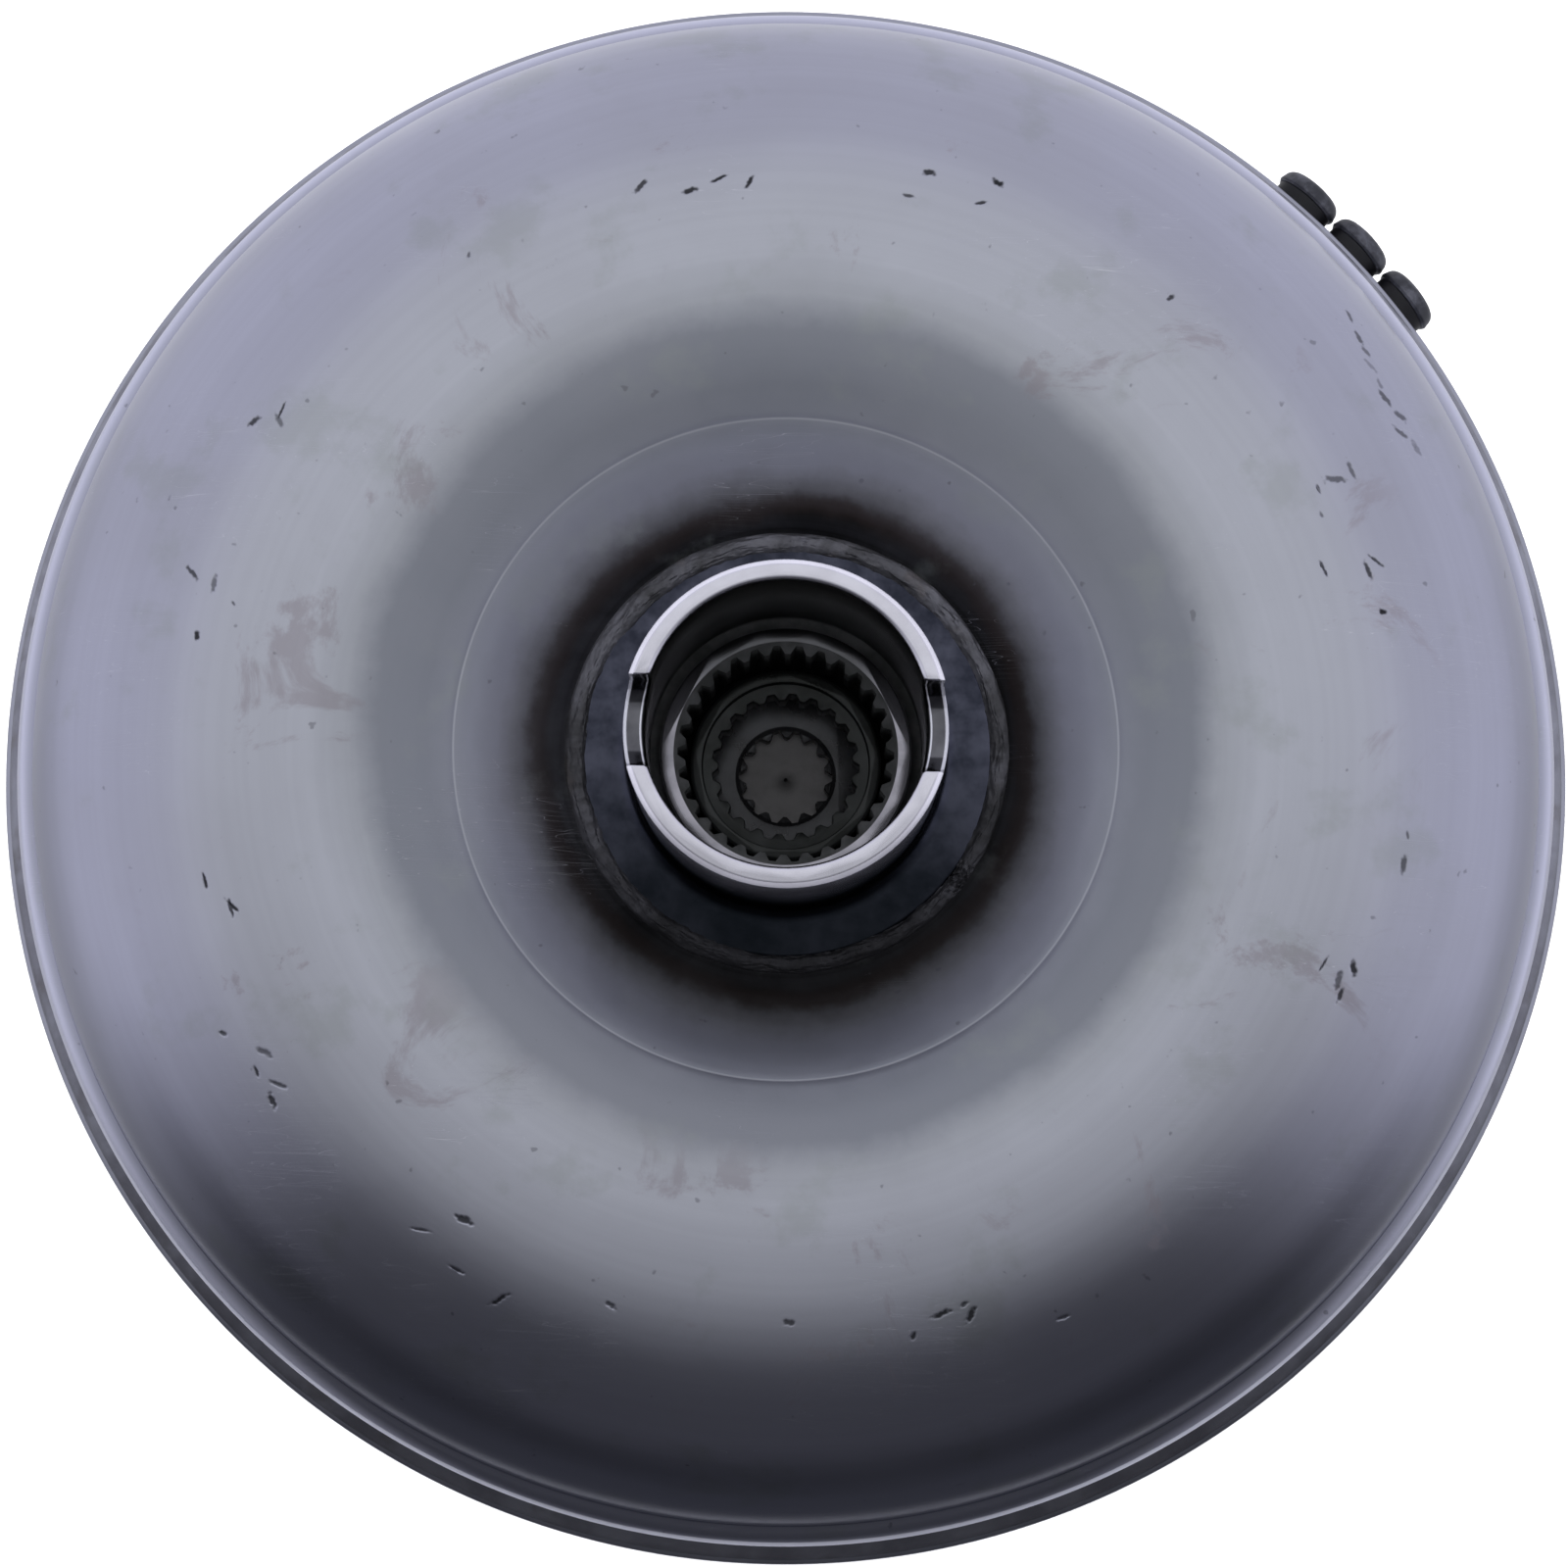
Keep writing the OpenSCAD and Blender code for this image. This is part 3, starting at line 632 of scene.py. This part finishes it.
def make_cover():
    bend = COVER_R - BEND_R
    bottom = PLATE_Z
    outside = [(BOSS_HOLE_R, bottom + STEP), (STEP_R, bottom + STEP), (STEP_R + 6, bottom)]
    outside += arc(bend, bottom + BEND_R, BEND_R, -90, 0, 30)
    outside += [(COVER_R, RIM_Z - 0.7), (COVER_R - 0.2, RIM_Z - 0.25), (COVER_R - 0.7, RIM_Z)]
    inside = [(RABBET_R, RIM_Z), (RABBET_R, RIM_Z - RABBET_DEPTH)]
    inside += [(COVER_R - COVER_T, RIM_Z - RABBET_DEPTH)]
    inside += arc(bend, bottom + BEND_R, BEND_R - COVER_T, 0, -90, 16)
    inside += [(STEP_R + 6, bottom + COVER_T), (STEP_R, bottom + COVER_T + STEP)]
    inside += [(BOSS_HOLE_R, bottom + COVER_T + STEP)]
    cover = lathe("cover", outside + inside, FINE_TURN)
    steel = machined("cover_steel", (0.33, 0.335, 0.41), (0.295, 0.30, 0.365), 0.34)
    cover.data.materials.append(steel)
    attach(cover, "housing")
    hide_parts("front_cover")


def make_rim_weld():
    """Low closing bead in the step between the cover's rim and the shell's skirt."""
    inner, outer = SKIRT_R - 0.2, COVER_R - 0.9
    low, high = RIM_Z - 0.3, RIM_Z + WELD_RISE
    section = [(inner, low), (outer - 0.3, low), (outer, RIM_Z + 0.1)]
    section += arc(inner, low, outer - inner, 12, 78, 12)
    section = [(r, min(z, high)) for r, z in section] + [(inner, high)]

    def ripple(r, z, angle):
        lift = max(0.0, (z - RIM_Z) / WELD_RISE)
        pulse = math.sin(angle * 190 + 2.5 * around(angle, 0, 5.0, 1.0)) * 0.03
        return r + (pulse + around(angle, 0, 14.0, 5.0) * 0.10) * lift, z + pulse * lift

    weld = lathe("rim_weld", section, RIM_WELD_TURN, ripple)
    # The last number is the share of painted shade on the bead's front side.
    metal = weld_metal("rim_weld_metal", (0.26, 0.265, 0.32), (0.18, 0.18, 0.22), 0.36, 0.5)
    weld.data.materials.append(metal)
    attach(weld, "housing")
    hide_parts("shell_weld")


def make_hub_weld():
    """Bead round the hub's base: overlapping ripples, with chipped and thin stretches."""
    low = foot("hub_weld")
    high = top("hub_weld")
    mid = (HUB_WELD_BORE_R + HUB_WELD_R) / 2
    section = [(38.4, low), (HUB_WELD_BORE_R, high - 1.7), (37.1, high - 1.0)]
    section += arc(mid, high - 2.3, 2.25, 135, 35, 18)
    section += [(HUB_WELD_R - 0.1, high - 2.0), (HUB_WELD_R - 0.9, high - 2.9)]

    def ripple(r, z, angle):
        lift = max(0.0, min(1.0, (z - (high - 2.0)) / 1.6))
        pulse = abs(math.sin(angle * 41 + 3 * around(angle, 0, 3.0, 2.0))) * 0.12
        rough = around(angle, r * 8, 9.0, 4.0) * 0.30 + around(angle, r * 30, 30.0, 7.0) * 0.14
        chip = max(0.0, around(angle, 0, 2.6, 12.0) - 0.22) * 2.4
        fall = 0.35 * (1 - math.sin(angle)) / 2
        from_scar = (angle - math.radians(HUB_WELD_SCAR)) / math.radians(4)
        fall += math.exp(-from_scar * from_scar) * (0.45 + around(angle, r * 90, 60.0, 21.0))
        side = 0.5 * math.cos(angle) + around(angle, r * 6, 7.0, 8.0) * 0.55
        return r + side * lift, z - (pulse + abs(rough) + chip + fall) * lift

    weld = lathe("hub_weld_bead", section, HUB_WELD_TURN, ripple)
    # The last number is the share of painted shade on the bead's front side.
    metal = weld_metal("hub_weld_metal", (0.105, 0.105, 0.125), (0.040, 0.040, 0.045), 0.46, 0.85)
    weld.data.materials.append(metal)
    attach(weld, "housing")
    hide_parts("hub_weld")


def make_plug():
    """Pressed disc at the bottom of the bore, with a small centre mark."""
    low, high = foot("pilot_plug"), top("pilot_plug")
    outer = reach("pilot_plug")
    mark_r = 0.3
    section = [(0.01, low), (outer - 0.6, low), (outer - 0.1, low + 0.3), (outer, low + 0.7)]
    section += [(outer, high), (9.0, high), (6.5, high - 0.06), (3.5, high - 0.10)]
    section += [(mark_r + 0.1, high - 0.10)]
    section += [(mark_r, high - 0.14), (0.01, high - 0.5)]
    plug = lathe("plug_disc", section, 144)
    steel = machined("plug_steel", (0.115, 0.112, 0.118), (0.060, 0.058, 0.062), 0.36)
    plug.data.materials.append(steel)
    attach(plug, "housing")
    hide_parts("pilot_plug")


def make_copy(name, node, body, material, width, angle=25):
    """A bevelled copy stands in for its CAD node."""
    piece = bevelled(name, node, width, angle)
    piece.data.materials.append(material)
    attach(piece, body)
    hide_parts(node)


def hub_steel(name):
    """Ground hub: bright end and journal, dull slots, a bore painted black for shade, and a
    blue-black flange with patchy painted sheen.
    """
    n = Nodes(name)
    height = n.height()
    radius = n.radius()
    y = n.math("MULTIPLY", n.math("ABSOLUTE", n.split()[1]), 1000.0)
    patches = n.noise(110.0, 6.0, 0.6)
    bright = n.mix(n.range(patches, 0.35, 0.7), (0.60, 0.59, 0.68), (0.54, 0.53, 0.61))
    # The flange's own dark colour, with bluish patches that are painted reflection.
    sheen = n.mix(n.range(patches, 0.30, 0.72), (0.018, 0.020, 0.031), (0.070, 0.073, 0.104))
    # Painted shade: the flange is darkened towards the front.
    shaded_dark = n.mix(n.math("MULTIPLY", n.soot_and_shade(), 0.8), sheen, (0.006, 0.008, 0.010))
    level = n.math("ADD", height, n.math("MULTIPLY", n.math("SUBTRACT", patches, 0.5), 6.0))
    colour = n.mix(n.range(level, HUB_Z - 44.0, HUB_Z - 20.0), shaded_dark, bright)
    wide = n.range(y, SLOT_HALF - 0.05, SLOT_HALF + 0.1, 1.0, 0.0)
    slot = n.both(wide, n.band(height, HUB_Z - SLOT_DEPTH - 0.4, HUB_Z - 0.9, 0.3))
    dull = n.mix(n.range(patches, 0.35, 0.7), (0.125, 0.125, 0.145), (0.075, 0.075, 0.090))
    colour = n.mix(slot, colour, dull)
    # Painted shade on the slot's side fillets.
    fillet_shade = n.both(n.range(y, SLOT_FLOOR_HALF, SLOT_FLOOR_HALF + 0.5, 0.0, 0.8), slot)
    colour = n.mix(fillet_shade, colour, (0.016, 0.016, 0.020))
    # Painted highlight along the slot's outer and inner edges, which are also less metallic.
    inner_edge = n.band(radius, HUB_BORE_R + 0.45, HUB_BORE_R + 0.75, 0.1)
    outer_edge = n.range(radius, HUB_R - 0.75, HUB_R - 0.5)
    edge_highlight = n.both(n.math("MAXIMUM", outer_edge, inner_edge), slot)
    colour = n.mix(n.both(edge_highlight, 0.8), colour, (0.46, 0.46, 0.54))
    # Painted shade: the bore's wall, deep in the tube, is coloured near-black.
    within = n.range(radius, HUB_BORE_R + 0.25, HUB_BORE_R + 0.4, 1.0, 0.0)
    bore = n.both(within, n.range(height, HUB_Z - 1.0, HUB_Z - 0.6, 1.0, 0.0))
    colour = n.mix(bore, colour, (0.006, 0.0065, 0.0075))
    lines = n.grain(n.math("ADD", height, radius), 9.0)
    rough = n.math("ADD", n.math("MULTIPLY", patches, 0.15), 0.14)
    rounded = n.range(radius, HUB_R - 1.0, HUB_R - 0.8)
    edge = n.both(rounded, n.band(height, HUB_Z - 1.1, HUB_Z - 0.1, 0.08))
    metallic = n.range(n.math("MAXIMUM", edge, edge_highlight), 0.0, 1.0, 1.0, 0.7)
    return n.finish(colour, rough, n.bump(lines, 0.00002, 0.4), metallic)


def race_steel(name):
    """Bright end ring, painted darker at its back for the hub's shade; teeth, mouth and nose
    painted dark for the bore's shade.
    """
    n = Nodes(name)
    radius = n.radius()
    patches = n.noise(160.0, 5.0, 0.6)
    ring = n.mix(n.range(patches, 0.35, 0.7), (0.30, 0.29, 0.34), (0.21, 0.205, 0.24))
    shaded_dark = n.mix(n.range(patches, 0.35, 0.7), (0.040, 0.042, 0.044), (0.075, 0.077, 0.084))
    x, y, _ = n.split()
    # Painted shade: the ring's back part takes the dark colour.
    shaded = n.range(n.turned(x, y), math.radians(95), math.radians(150), 0.0, 0.88)
    ring = n.mix(shaded, ring, shaded_dark)
    end = n.range(n.height(), RACE_Z - 0.5, RACE_Z - 0.2)
    face = n.both(n.band(radius, *RACE_FACE, 0.08), end)
    lines = n.grain(n.math("ADD", n.height(), radius), 9.0)
    rough = n.math("ADD", n.math("MULTIPLY", patches, 0.12), 0.10)
    metallic = n.range(face, 0.0, 1.0, 0.35, 1.0)
    return n.finish(n.mix(face, shaded_dark, ring), rough, n.bump(lines, 0.00002, 0.3), metallic)


def dress_cad(node, material):
    """Give a CAD node that stays a detailed material."""
    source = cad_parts[node]
    source.data.materials.clear()
    source.data.materials.append(material)


def make_pieces():
    make_shell()
    make_cover()
    make_rim_weld()
    make_hub_weld()
    hub = hub_steel("hub_steel")
    make_copy("pump_hub", "impeller_hub", "housing", hub, 0.3, 30)
    race = race_steel("race_steel")
    make_copy("clutch_inner_race", "inner_race", "race", race, 0.18)
    # The turbine hub and the boss sit deep in the bore; their near-black colours are painted
    # shade.
    dark = machined("turbine_hub_steel", (0.030, 0.032, 0.034), (0.010, 0.011, 0.011), 0.30, 0.75)
    make_copy("turbine_spline_hub", "turbine_hub", "turbine", dark, 0.15)
    boss = machined("boss_steel", (0.045, 0.046, 0.052), (0.018, 0.018, 0.020), 0.28, 0.75)
    make_copy("boss_forging", "cover_boss", "housing", boss, 0.15)
    make_plug()
    lug = machined("lug_steel", (0.20, 0.20, 0.23), (0.16, 0.16, 0.18), 0.34)
    make_copy("lug_blocks", "drive_lugs", "housing", lug, 0.5)
    black = black_finish("weight_black", NECK_END_R)
    make_copy("rim_weights", "balance_weights", "housing", black, 0.2)


def dress_inside():
    """Plain metals for the CAD nodes that stay: small welds, wheels, clutch and bearings."""
    weld = weld_metal("weld_metal", (0.20, 0.20, 0.22), (0.09, 0.085, 0.085))
    blade = machined("blade_steel", (0.33, 0.34, 0.38), (0.24, 0.25, 0.28), 0.36)
    bearing = machined("bearing_steel", (0.60, 0.61, 0.64), (0.50, 0.51, 0.54), 0.18)
    bronze = machined("bronze", (0.50, 0.34, 0.13), (0.36, 0.24, 0.09), 0.34)
    rivet = machined("rivet_steel", (0.22, 0.22, 0.25), (0.15, 0.15, 0.17), 0.36)
    casting = cast_metal("cast_aluminium", (0.50, 0.51, 0.53), (0.40, 0.41, 0.43))
    cam = machined("cam_steel", (0.36, 0.35, 0.40), (0.26, 0.25, 0.29), 0.3)
    spring = machined("spring_steel", (0.30, 0.31, 0.34), (0.20, 0.21, 0.24), 0.28)
    cage = machined("cage_steel", (0.26, 0.24, 0.20), (0.18, 0.16, 0.13), 0.42)
    carried = {
        weld: ("boss_weld", "lug_welds"),
        bronze: ("pilot_bushing", "thrust_washer"),
        blade: (
            "impeller_blades", "impeller_core_ring",
            "turbine_shell", "turbine_blades", "turbine_core_ring",
        ),
        rivet: ("turbine_rivets",),
        casting: ("stator_wheel", "clutch_retainer"),
        cam: ("cam_race",),
        spring: ("clutch_springs", "retaining_ring"),
        cage: ("upper_bearing_cage", "lower_bearing_cage"),
        bearing: (
            "clutch_rollers",
            "upper_bearing_hub_race", "upper_bearing_stator_race", "upper_bearing_needles",
            "lower_bearing_turbine_race", "lower_bearing_stator_race", "lower_bearing_needles",
        ),
    }
    for metal, nodes in carried.items():
        for node in nodes:
            dress_cad(node, metal)


# ---------------------------------------------------------------- stage

# The room, which the steel mirrors: pale, with a dark opening in front (sizes in metres)
WALL = (0.93, 0.94, 1.0)
ZENITH = (0.98, 1.0, 0.99)
DARK = (0.052, 0.054, 0.064)
SHADED = (0.20, 0.205, 0.23)
PAPER = (0.95, 0.95, 0.95, 1)
OPENING = (math.radians(42), math.radians(78))
SIDES = (math.radians(70), math.radians(155))
LIP_END = (0.168, 0.182)
LIP_GAIN = 2.9
TENT_R = 0.3
TENT_Z = 0.11
TENT_GLOW = 0.3
OVERHEAD = 0.42

# The camera, in millimetres and degrees
LENS = 107.5
TILT = 5.3
ASIDE = 1.2
TARGET = (-0.3, -1.6, RIM_Z)


def make_floor():
    """Pale paper. Mirrored in the steel, it is dark beyond a bright lip in front of the part,
    as the tent's opening is, and shaded close to the part's sides. From below it is clear."""
    bm = bmesh.new()
    bmesh.ops.create_grid(bm, x_segments=8, y_segments=8, size=3.0)
    floor = new_object("floor", bm)
    material = bpy.data.materials.new("floor_paper")
    material.use_nodes = True
    g = Graph(material.node_tree)
    x, y, _ = g.split()
    turned = g.turned(x, y)
    far = g.math("SQRT", g.math("ADD", g.math("MULTIPLY", x, x), g.math("MULTIPLY", y, y)))
    close = g.range(far, 0.18, 0.40, 1.0, 0.0)
    near = g.math("MULTIPLY", close, g.range(turned, *SIDES, 0.62, 0.0))
    shaded = g.mix(near, WALL, SHADED)
    ahead = g.math("MULTIPLY", g.range(turned, *OPENING, 1.0, 0.0), g.range(far, 0.170, 0.184))
    seen = g.node("ShaderNodeBsdfDiffuse")
    seen.inputs["Color"].default_value = PAPER
    mirrored = g.node("ShaderNodeEmission")
    g.put(mirrored.inputs["Color"], g.mix(ahead, shaded, DARK))
    in_front = g.range(turned, *OPENING, LIP_GAIN, 0.0)
    lip = g.math("MULTIPLY", in_front, g.range(far, *LIP_END, 1.0, 0.0))
    g.put(mirrored.inputs["Strength"], g.math("ADD", 1.0, lip))
    glossy = g.node("ShaderNodeLightPath").outputs["Is Glossy Ray"]
    output = g.tree.nodes["Material Output"]
    paper = g.shaders(glossy, seen.outputs[0], mirrored.outputs[0])
    below = g.node("ShaderNodeNewGeometry").outputs["Backfacing"]
    clear = g.node("ShaderNodeBsdfTransparent")
    g.put(output.inputs["Surface"], g.shaders(below, paper, clear.outputs[0]))
    floor.data.materials.append(material)
    floor.location.z = -0.05 * MM


def make_tent():
    """A light tent's dark opening in front: a dome that only reflections meet."""
    bm = bmesh.new()
    bmesh.ops.create_uvsphere(bm, u_segments=64, v_segments=32, radius=TENT_R)
    low = [v for v in bm.verts if v.co.z < -0.1]
    bmesh.ops.delete(bm, geom=low, context="VERTS")
    tent = new_object("tent", bm)
    tent.location.z = TENT_Z
    material = bpy.data.materials.new("tent_opening")
    material.use_nodes = True
    g = Graph(material.node_tree)
    x, y, z = g.split()
    polar = g.math("ARCCOSINE", g.math("DIVIDE", z, TENT_R))
    above = g.range(g.math("DIVIDE", y, -TENT_R), -0.17, 0.32, 0.0, OVERHEAD)
    ahead = g.range(g.turned(x, y), *OPENING, 0.94, 0.0)
    share = g.range(polar, math.radians(11), math.radians(62))
    overhead = g.math("MULTIPLY", above, g.math("SUBTRACT", 1.0, share))
    dark = g.math("ADD", overhead, g.math("MULTIPLY", ahead, share))
    opening = g.node("ShaderNodeEmission")
    opening.inputs["Color"].default_value = (*DARK, 1)
    opening.inputs["Strength"].default_value = TENT_GLOW
    clear = g.node("ShaderNodeBsdfTransparent")
    output = g.tree.nodes["Material Output"]
    g.put(output.inputs["Surface"], g.shaders(dark, clear.outputs[0], opening.outputs[0]))
    tent.data.materials.append(material)
    tent.visible_camera = tent.visible_diffuse = False
    tent.visible_transmission = tent.visible_shadow = False


def make_world():
    """Pale studio all round."""
    world = bpy.data.worlds.new("studio")
    bpy.context.scene.world = world
    world.use_nodes = True
    g = Graph(world.node_tree)
    split = g.node("ShaderNodeSeparateXYZ")
    g.put(split.inputs[0], g.node("ShaderNodeTexCoord").outputs["Generated"])
    low = g.range(split.outputs[2], 0.6, 0.98, 1.0, 0.0)
    studio = g.node("ShaderNodeBackground")
    g.put(studio.inputs["Color"], g.mix(low, ZENITH, WALL))
    plain = g.node("ShaderNodeBackground")
    plain.inputs["Color"].default_value = (1, 1, 1, 1)
    camera = g.node("ShaderNodeLightPath").outputs["Is Camera Ray"]
    output = g.tree.nodes["World Output"]
    g.put(output.inputs["Surface"], g.shaders(camera, studio.outputs[0], plain.outputs[0]))


def make_fill():
    """Broad soft light overhead, which the steel doesn't mirror."""
    data = bpy.data.lights.new("fill", "AREA")
    data.shape = "RECTANGLE"
    data.size, data.size_y = 1.6, 1.6
    data.energy = 60.0
    light = bpy.data.objects.new("fill", data)
    place = Vector((0, 0.2, 2.0))
    light.location = place
    light.rotation_euler = (Vector() - place).to_track_quat("-Z", "Y").to_euler()
    light.visible_glossy = False
    bpy.context.scene.collection.objects.link(light)


def make_camera():
    """On the front side, a little off the axis, looking down at the middle of the rim's plane."""
    tilt, turn = math.radians(TILT), math.radians(-90 + ASIDE)
    target = Vector(TARGET) * MM
    distance = 6 * COVER_R * MM
    flat = math.sin(tilt)
    away = Vector((flat * math.cos(turn), flat * math.sin(turn), math.cos(tilt)))
    data = bpy.data.cameras.new("camera")
    data.sensor_width = 36.0
    data.lens = LENS
    camera = bpy.data.objects.new("camera", data)
    camera.location = target + away * distance
    camera.rotation_euler = away.to_track_quat("Z", "Y").to_euler()
    bpy.context.scene.collection.objects.link(camera)
    bpy.context.scene.camera = camera


make_pieces()
dress_inside()
make_floor()
make_tent()
make_world()
make_fill()
make_camera()
bpy.context.scene.view_settings.view_transform = "Standard"
